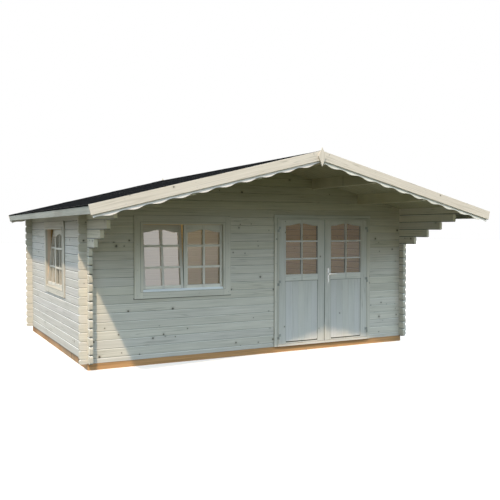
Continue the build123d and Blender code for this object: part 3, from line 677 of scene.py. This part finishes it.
# ---------------------------------------------------------------- glass, felt and metal
def glass(name, tilted_shine, veil, tint):
    """A thin pane: light passes straight through, and a share is mirrored, more in a tilted pane.

    veil is the share that any pane mirrors beside what the angle asks.
    """
    s = Shader(name)
    clear = s.node("ShaderNodeBsdfTransparent", {"Color": tint})
    mirror = s.node("ShaderNodeBsdfGlossy", {"Color": WHITE, "Roughness": 0.02})
    fresnel = s.node("ShaderNodeFresnel", {"IOR": 1.5})
    tilt = s.math("ABSOLUTE", s.split(s.coordinates("Normal"))[2])
    leaning = s.math("LESS_THAN", s.math("ABSOLUTE", s.sub(tilt, 0.12)), 0.08)
    outside = s.sub(1.0, s.node("ShaderNodeNewGeometry").outputs["Backfacing"])
    straight = s.add(fresnel.outputs[0], veil)
    share = s.math("MINIMUM", s.mul(outside, s.scaled(leaning, tilted_shine, straight)), 1.0)
    return s.finish(s.mix_shaders(share, clear.outputs[0], mirror.outputs[0]))


GLASS_TINT = (0.88, 0.89, 0.87, 1.0)
coat(glass("front_glass", 0.26, 0.025, (0.84, 0.88, 0.90, 1.0)), "front_window_glass")
coat(glass("side_glass", 0.28, 0.05, GLASS_TINT), "side_window_glass")
coat(glass("door_glass", 0.28, 0.0, GLASS_TINT), "left_leaf_glass", "right_leaf_glass")


def felt(name):
    """Mineral-faced bitumen felt: dark granules, a little dust, soft unevenness."""
    s = Shader(name)
    place = s.coordinates()
    grains = s.node("ShaderNodeTexVoronoi", {"Vector": place, "Scale": 420.0}, feature="F1")
    speck = s.split(grains.outputs["Color"])
    patches = s.noise(place, 1.7, 4.0)
    color = s.mix(speck[0], srgb(3, 4, 6), srgb(9, 11, 15))
    color = s.mix(s.mul(s.step(speck[1], 0.94, 1.0), 0.4), color, srgb(36, 38, 41))
    color = s.mix(s.mul(s.step(patches, 0.45, 0.8), 0.25), color, srgb(13, 15, 18))
    height = s.add(s.mul(grains.outputs["Distance"], 0.6), s.mul(s.noise(place, 9.0, 2.0), 3.0))
    return s.surface(color, 1.0, s.bump(height, 0.5, 0.001), Specular_IOR_Level=0.015)


felt_finish = felt("roofing_felt")


def metal(name, color, roughness, metallic=1.0):
    """Drawn metal with faint brush marks along its length."""
    s = Shader(name)
    x, y, z = s.split(s.coordinates())
    marks = s.noise(s.vector(s.mul(x, 900.0), s.mul(y, 900.0), s.mul(z, 60.0)), 1.0, 3.0)
    shine = s.scaled(marks, 0.12, roughness - 0.06)
    return s.surface(color, shine, s.bump(marks, 0.08, 0.0002), Metallic=metallic)


zinc = metal("zinc_plating", srgb(128, 130, 127), 0.75)
plated = metal("screw_plating", srgb(168, 170, 164), 0.7, 0.4)
hinge_finish = metal("painted_hinges", srgb(158, 160, 154), 0.7, 0.3)
satin = metal("satin_handle", srgb(150, 154, 154), 0.34)
bright = metal("bright_lever", srgb(214, 216, 214), 0.42)
coat(hinge_finish, "door_frame_hinges", "left_leaf_hinges", "right_leaf_hinges")
coat(satin, "handle_plates")
coat(bright, "door_lever")


# ---------------------------------------------------------------- detail meshes
def stand(name, data):
    """A new object in the scene."""
    made = bpy.data.objects.new(name, data)
    bpy.context.scene.collection.objects.link(made)
    return made


class Piece:
    """One detail mesh, gathered from many small shapes."""

    def __init__(self, name, material, body, slot):
        self.name = name
        self.material = material
        self.body = body
        self.slot = slot
        self.points = []
        self.faces = []

    def put(self, points, faces, place=Matrix.Identity(4)):
        first = len(self.points)
        self.points += [place @ Vector(point) for point in points]
        self.faces += [[first + index for index in face] for face in faces]

    def finish(self, replaces=()):
        mesh = bpy.data.meshes.new(self.name)
        mesh.from_pydata(self.points, [], self.faces)
        mesh.materials.append(self.material)
        made = stand(self.name, mesh)
        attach(made, self.body)
        if replaces:
            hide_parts(*replaces)


def facing(place, outward, up):
    """The matrix that lays a shape on a face: its z points outward and its y up."""
    right = up.cross(outward)
    rows = [(right[i], up[i], outward[i], place[i]) for i in range(3)]
    return Matrix(rows + [(0, 0, 0, 1)])


def circle(radius, height, count):
    turns = [2 * math.pi * index / count for index in range(count)]
    return [(radius * math.cos(turn), radius * math.sin(turn), height) for turn in turns]


def skirt(first, second, count):
    """Faces between two rings of points, given by the index of their first point."""
    return [[first + i, first + (i + 1) % count, second + (i + 1) % count, second + i]
            for i in range(count)]


def turned(rings, count):
    """A round shape through rings of points, each a (radius, height), closed at the last."""
    points = []
    faces = []
    for index, (radius, height) in enumerate(rings):
        points += circle(radius, height, count)
        if index:
            faces += skirt((index - 1) * count, index * count, count)
    faces.append(list(range(len(points) - count, len(points))))
    return points, faces


def nail_head(radius):
    """A flat round head, bevelled at its rim."""
    return turned([(radius, 0), (radius, radius * 0.14), (radius * 0.85, radius * 0.25)], 10)


def screw_head(radius):
    """A low domed head with a cross recess."""
    count = 16
    arm = radius * 0.14
    reach = radius * 0.62
    top = radius * 0.25
    points = circle(radius, 0, count) + circle(radius * 0.85, top, count)
    faces = skirt(0, count, count)
    cross = []
    for quarter in range(4):
        turn = Matrix.Rotation(quarter * math.pi / 2, 3, "Z")
        for x, y in ((reach, -arm), (reach, arm), (arm, arm)):
            cross.append(turn @ Vector((x, y, 0)))
    shape = bmesh.new()
    outer = [shape.verts.new(point) for point in points[count:]]
    inner = [shape.verts.new((corner.x, corner.y, top)) for corner in cross]
    for loop in (outer, inner):
        for index, corner in enumerate(loop):
            shape.edges.new((corner, loop[(index + 1) % len(loop)]))
    bmesh.ops.triangle_fill(shape, edges=shape.edges[:], use_beauty=True, normal=(0, 0, 1))
    shape.verts.index_update()
    faces += [[count + corner.index for corner in face.verts] for face in shape.faces]
    shape.free()
    rim = 2 * count
    bottom = rim + len(cross)
    points += [(corner.x, corner.y, top) for corner in cross]
    points += [(corner.x, corner.y, -radius * 0.1) for corner in cross]
    faces += skirt(rim, bottom, len(cross))
    faces.append(list(range(bottom, bottom + len(cross))))
    return points, faces


def bar(low, high):
    """A straight strip with square edges, between two corners."""
    xs, ys, zs = zip(low, high)
    points = [(x, y, z) for x in xs for y in ys for z in zs]
    return points, [(0, 1, 3, 2), (4, 6, 7, 5), (0, 4, 5, 1), (2, 3, 7, 6), (0, 2, 6, 4), (1, 5, 7, 3)]


# ---------------------------------------------------------------- roofing felt
FELT = 0.0023
FELT_COURSE = 1.06
FELT_LAP = 0.10
LAP_RAMP = 0.06
FELT_SETBACK = 0.008
FELT_UPTURN = 0.04
HEM_DROP = 0.012
HEM_GAP = 0.0005
RIDGE_CAP = 0.25
RIDGE_GAP = 0.004
SHORTEST_COURSE = 0.1
CAP_LIFT = 0.0003
NAIL = 0.005
NAIL_SPACING = 0.075
NAIL_EDGE = 0.025
NAIL_INSET = 0.04
NAIL_LIFT = 0.0009
CAP_NAIL_LIFT = 0.0014
SHEET_ROWS = 16
SHEET_COLUMNS = 110
CAP_ROWS = 5

# Heights on the roof are measured square to the slope, from the top of the barge boards.
deck = -0.006
felt_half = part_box("left_roof_felt")[1].y
felt_end = slope_length - FELT_SETBACK
ridge = Vector((0, 0, ridge_top))


def ripple(along, down, phase):
    """How far a laid sheet lifts: slightly everywhere, and more where it meets the barge boards."""
    slow = math.sin(2.1 * along + 1.3 * down + phase) * math.sin(3.7 * down + phase)
    quick = math.sin(11.0 * along + 2.3 * phase) * math.sin(7.0 * down - phase)
    upturn = max(abs(along) - (felt_half - FELT_UPTURN), 0.0) / FELT_UPTURN
    return 0.0003 * (1 + slow) + 0.00015 * (1 + quick) + 0.0045 * upturn ** 2


def sheet_faces(rows, closed_rows):
    """The faces of a thin sheet: two layers of points, closed at its sides and at some rows."""
    wide = SHEET_COLUMNS + 1
    count = (rows + 1) * wide
    faces = []
    for row in range(rows):
        for column in range(SHEET_COLUMNS):
            corner = row * wide + column
            top = [corner, corner + 1, corner + wide + 1, corner + wide]
            faces.append(top)
            faces.append([count + index for index in reversed(top)])
    for row in closed_rows:
        for column in range(SHEET_COLUMNS):
            corner = row * wide + column
            faces.append([corner, corner + 1, count + corner + 1, count + corner])
    for row in range(rows):
        for column in (0, SHEET_COLUMNS):
            corner = row * wide + column
            faces.append([corner, corner + wide, count + corner + wide, count + corner])
    return faces


def felt_sheet(piece, way, square, start, end, lowest, phase):
    """A course between two places down the slope.

    It rides up over the course below; the lowest has a hem that turns down over the edge.
    """
    inner = felt_half - FELT_UPTURN
    even = SHEET_COLUMNS - 4
    steps = [inner * (2 * column / even - 1) for column in range(even + 1)]
    edge = [inner + FELT_UPTURN / 2, felt_half]
    steps = [-place for place in reversed(edge)] + steps + edge
    section = []
    for row in range(SHEET_ROWS + 1):
        down = start + (end - start) * row / SHEET_ROWS
        rise = 0.0
        if not lowest:
            nearness = (down - (end - FELT_LAP - LAP_RAMP)) / LAP_RAMP
            rise = FELT * min(max(nearness, 0.0), 1.0)
        section.append((down, deck + rise))
    if lowest:
        section += [(end + HEM_GAP, deck - HEM_DROP / 2), (end + HEM_GAP, deck - HEM_DROP)]
    points = []
    for thickness in (FELT, 0.0):
        for down, height in section:
            for along in steps:
                lift = height + thickness + ripple(along, down, phase)
                if down > end:
                    point = ridge + way * (down + thickness) + square * height
                else:
                    point = ridge + way * down + square * lift
                points.append(point + y_way * along)
    last = len(section) - 1
    piece.put(points, sheet_faces(last, (0, last)))


def felt_cap_side(piece, way, square):
    """Half of the strip over the ridge."""
    points = []
    for thickness in (FELT, 0.0):
        for row in range(CAP_ROWS + 1):
            down = RIDGE_CAP * row / CAP_ROWS
            for column in range(SHEET_COLUMNS + 1):
                along = felt_half * (2 * column / SHEET_COLUMNS - 1)
                height = deck + FELT + thickness + CAP_LIFT + ripple(along, down, 2.0)
                point = ridge + way * down + square * height + y_way * along
                if row == 0:
                    point.x = 0.0
                points.append(point)
    piece.put(points, sheet_faces(CAP_ROWS, (CAP_ROWS,)))


def nail_row(piece, way, square, down, height):
    """Clout nails in a line along the roof."""
    reach = felt_half - NAIL_INSET
    count = round(2 * reach / NAIL_SPACING)
    for index in range(count + 1):
        along = reach * (2 * index / count - 1) + random.uniform(-0.006, 0.006)
        place = ridge + way * (down + random.uniform(-0.004, 0.004)) + square * height
        piece.put(*nail_head(NAIL), facing(place + y_way * along, square, way))


def roof_felt():
    """Three courses on each slope, the upper over the lower, and a cap over the ridge."""
    nails = Piece("felt_nails", zinc, "cabin", "hinge_steel")
    cap = Piece("felt_ridge_cap", felt_finish, "cabin", "roof_felt")
    for side, (way, square) in SLOPES.items():
        sheets = Piece(f"{side}_felt_courses", felt_finish, "cabin", "roof_felt")
        end = felt_end
        while end > SHORTEST_COURSE:
            start = max(end - FELT_COURSE, RIDGE_GAP)
            lowest = end == felt_end
            felt_sheet(sheets, way, square, start, end, lowest, 5.0 * end + len(side))
            lap_rise = 0.0 if lowest else FELT
            nail_row(nails, way, square, end - NAIL_EDGE, deck + lap_rise + FELT + NAIL_LIFT)
            end = start + FELT_LAP if start > SHORTEST_COURSE else 0.0
        sheets.finish(replaces=[f"{side}_roof_felt"])
        felt_cap_side(cap, way, square)
        nail_row(nails, way, square, RIDGE_CAP - NAIL_EDGE, deck + 2 * FELT + CAP_NAIL_LIFT)
    cap.finish()
    nails.finish()


roof_felt()


# ---------------------------------------------------------------- screws, lock and seals
SCREW = 0.0045
SMALL_SCREW = 0.0032
JAMB_SCREWS = 4
JAMB_SCREW_INSET = 0.1
BARGE_SCREWS = (0.12, 0.875, 1.75, 2.60)
BARGE_SCREW_DEPTHS = (0.030, 0.085)
EAVE_SCREWS = 9
EAVE_SCREW_INSET = 0.08
EAVE_SCREW_DEPTH = 0.078
KNUCKLE = 0.007
KNUCKLE_HEIGHT = 0.038
KNUCKLE_GAP = 0.0008
LEAF_WING = 0.022
FRAME_WING = 0.016
WING_DEPTH = 0.0075
WING_SCREWS = (0.010, 0.029)
LOCK_DROP = 0.055
# The lock: (radius, height) from its rim into its keyhole, and the bar below.
LOCK_RINGS = [(0.0085, 0.0), (0.0085, 0.0035), (0.0075, 0.004), (0.0022, 0.004), (0.0022, 0.0015)]
LOCK_BAR = (-0.0048, -0.024, 0.0), (0.0048, -0.006, 0.0032)
PLATE_SCREW_INSET = 0.012
SEAL_WIDTH = 0.004
SEAL_FRONT = 0.001
SEAL_BACK = 0.013
SEAL_INSET = 0.004
leaf_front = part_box("left_leaf_frame")[0].y
door_low, door_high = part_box("door_jambs")
door_middle = (door_low.x + door_high.x) / 2


def drive(piece, radius, place, outward, up):
    """A screw head, its recess turned at random."""
    turn = Matrix.Rotation(random.uniform(0, math.pi / 2), 4, "Z")
    piece.put(*screw_head(radius), facing(Vector(place), outward, up) @ turn)


def trim_screws(piece, node, axis, outward):
    """Screws down the middle of the trims round a window."""
    low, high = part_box(node)
    inset = WINDOW_TRIM / 2
    first = getattr(low, axis) + inset
    last = getattr(high, axis) - inset
    bottom = low.z + inset
    top = high.z - inset
    other = "y" if axis == "x" else "x"
    level = getattr(low, other)
    spots = []
    for share in (0.0, 1 / 3, 2 / 3, 1.0):
        height = bottom + (top - bottom) * share
        spots += [(first, height), (last, height)]
    for share in (1 / 3, 2 / 3):
        between = first + (last - first) * share
        spots += [(between, bottom), (between, top)]
    for sideways, height in spots:
        place = Vector((0, 0, height))
        setattr(place, axis, sideways)
        setattr(place, other, level)
        drive(piece, SCREW, place, outward, z_way)


def jamb_screws(piece):
    """Screws up the two trims beside the door."""
    reach = door_high.z - door_low.z - 2 * JAMB_SCREW_INSET
    for sideways in (door_low.x + DOOR_TRIM / 2, door_high.x - DOOR_TRIM / 2):
        for index in range(JAMB_SCREWS):
            level = door_low.z + JAMB_SCREW_INSET + reach * index / (JAMB_SCREWS - 1)
            drive(piece, SCREW, (sideways, door_low.y, level), -y_way, z_way)


def roof_screws(piece):
    """Screws that hold the barge boards to the purlins and the eave boards to the roof boards."""
    for way, square in SLOPES.values():
        for down in BARGE_SCREWS:
            for depth in BARGE_SCREW_DEPTHS:
                for end in (-1, 1):
                    place = ridge + way * down - square * depth + y_way * end * roof_high.y
                    drive(piece, SCREW, place, y_way * end, z_way)
        for index in range(EAVE_SCREWS):
            along = (felt_half - EAVE_SCREW_INSET) * (2 * index / (EAVE_SCREWS - 1) - 1)
            place = ridge + way * slope_length - square * EAVE_SCREW_DEPTH + y_way * along
            drive(piece, SCREW, place, way, y_way)


def hinge_screws(piece, side, on_leaf):
    """Two screws in each wing of the three hinges on one side of the door."""
    low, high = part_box("left_leaf_hinges")
    pin = low.x + KNUCKLE
    sideways = pin + LEAF_WING if on_leaf else pin - FRAME_WING
    if side == "right":
        sideways = 2 * door_middle - sideways
    face = low.y + KNUCKLE + WING_DEPTH
    lowest = low.z - KNUCKLE_GAP / 2
    highest = high.z - KNUCKLE_HEIGHT - KNUCKLE_GAP / 2
    for height in (lowest, (lowest + highest) / 2, highest):
        for offset in WING_SCREWS:
            level = height + offset if on_leaf else height - offset
            drive(piece, SMALL_SCREW, (sideways, face, level), -y_way, z_way)


def lock(piece):
    """A profile cylinder in both handle plates, below the lever, and the screws of the plates."""
    low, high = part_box("handle_plates")
    middle = (low.x + high.x) / 2
    height = (low.z + high.z) / 2 - LOCK_DROP
    for face, outward in ((low.y, -y_way), (high.y, y_way)):
        place = facing(Vector((middle, face, height)), outward, z_way)
        piece.put(*turned(LOCK_RINGS, 24), place)
        piece.put(*bar(*LOCK_BAR), place)
        for level in (low.z + PLATE_SCREW_INSET, high.z - PLATE_SCREW_INSET):
            drive(piece, SMALL_SCREW, (middle, face, level), outward, z_way)


def seal(side, edge, toward):
    """A soft weather strip on a leaf's meeting edge, narrowing the gap in the middle."""
    low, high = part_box(f"{side}_leaf_frame")
    piece = Piece(f"{side}_leaf_seal", seal_finish, f"door_{side}", "door_wood")
    near, far = sorted((edge, edge + toward * SEAL_WIDTH))
    piece.put(*bar((near, leaf_front + SEAL_FRONT, low.z + SEAL_INSET),
                   (far, leaf_front + SEAL_BACK, high.z - SEAL_INSET)))
    piece.finish()


seal_finish = wood("weather_strip", z_way, x_way, 0.3, 0.0, pale=srgb(196, 196, 188),
                   streak=srgb(180, 180, 172), joint=0.0, knots=0.0)
cabin_screws = Piece("cabin_screws", plated, "cabin", "hinge_steel")
trim_screws(cabin_screws, "front_window_frame", "x", -y_way)
trim_screws(cabin_screws, "side_window_frame", "y", -x_way)
jamb_screws(cabin_screws)
roof_screws(cabin_screws)
hinge_screws(cabin_screws, "left", False)
hinge_screws(cabin_screws, "right", False)
cabin_screws.finish()
for side in ("left", "right"):
    leaf_screws = Piece(f"{side}_leaf_screws", plated, f"door_{side}", "hinge_steel")
    hinge_screws(leaf_screws, side, True)
    leaf_screws.finish()
lock_cylinder = Piece("lock_cylinder", satin, "door_right", "handle_metal")
lock(lock_cylinder)
lock_cylinder.finish()
seal("left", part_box("left_leaf_frame")[1].x, 1)
seal("right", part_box("right_leaf_frame")[0].x, -1)


# ---------------------------------------------------------------- floor, light and camera
SKY = (1.75, 2.20, 2.60, 1.0)
HORIZON = (0.10, 0.12, 0.09, 1.0)
FLOOR = (0.70, 0.62, 0.56, 1.0)
FLOOR_BOUNCE = (0.085, 0.088, 0.060, 1.0)
FLOOR_HALF = 80.0
FLOOR_DROP = 0.001


def floor():
    """A pale floor, white to the eye, that keeps the cabin's shadow and throws little light back."""
    mesh = bpy.data.meshes.new("floor")
    corners = [(x * FLOOR_HALF, y * FLOOR_HALF, -FLOOR_DROP)
               for x, y in ((-1, -1), (1, -1), (1, 1), (-1, 1))]
    mesh.from_pydata(corners, [], [(0, 1, 2, 3)])
    s = Shader("pale_floor")
    matte = s.node("ShaderNodeBsdfDiffuse", {"Color": FLOOR})
    glow = s.node("ShaderNodeEmission", {"Strength": 0.42})
    pale = s.node("ShaderNodeAddShader", (matte.outputs[0], glow.outputs[0]))
    bounce = s.node("ShaderNodeBsdfDiffuse", {"Color": FLOOR_BOUNCE})
    mesh.materials.append(s.finish(s.mix_shaders(s.direct_ray(), bounce.outputs[0], pale.outputs[0])))
    plane = stand("floor", mesh)


def world():
    """White behind the cabin, and a cool light from above that fades towards the horizon."""
    s = Shader("studio", bpy.data.worlds, "ShaderNodeOutputWorld")
    bpy.context.scene.world = s.owner
    direction = s.split(s.coordinates("Generated"))
    side = s.scaled(direction[0], 0.12, 1.0)
    above = s.mix(1.0, SKY, s.vector(side, side, side), "MULTIPLY")
    sky = s.mix(s.step(direction[2], 0.06, 0.55), HORIZON, above)
    soft = s.node("ShaderNodeBackground", {"Color": sky})
    white = s.node("ShaderNodeBackground", {"Color": WHITE})
    s.finish(s.mix_shaders(s.direct_ray(), soft.outputs[0], white.outputs[0]))


def key_light():
    """A warm key from the left, in front and above."""
    lamp = bpy.data.lights.new("key", "SUN")
    lamp.energy = 3.4
    lamp.color = (1.0, 0.82, 0.61)
    lamp.angle = math.radians(1.6)
    key = stand("key", lamp)
    towards = Vector((-1.13, -1.47, 2.33))
    key.rotation_euler = towards.to_track_quat("Z", "Y").to_euler()


def room_light():
    """A soft fill in the middle of the room, so that it shows through the panes."""
    lamp = bpy.data.lights.new("room", "POINT")
    lamp.energy = 16.0
    lamp.color = (1.0, 0.92, 0.70)
    lamp.shadow_soft_size = 0.55
    light = stand("room", lamp)
    light.location = (0.35, back_face - 1.25, 1.95)
    light.visible_camera = False
    light.visible_glossy = False
    light.visible_transmission = False


def camera():
    """The view from the front left, at about a person's eye height."""
    lens = bpy.data.cameras.new("camera")
    lens.lens = 48.614
    lens.sensor_width = 36.0
    seat = stand("camera", lens)
    seat.location = (-4.698, -9.8239, 1.7855)
    seat.rotation_euler = (math.radians(90 - 1.6562), 0, math.radians(-27.7354))
    bpy.context.scene.camera = seat


floor()
world()
key_light()
room_light()
camera()
bpy.context.scene.view_settings.view_transform = "Standard"
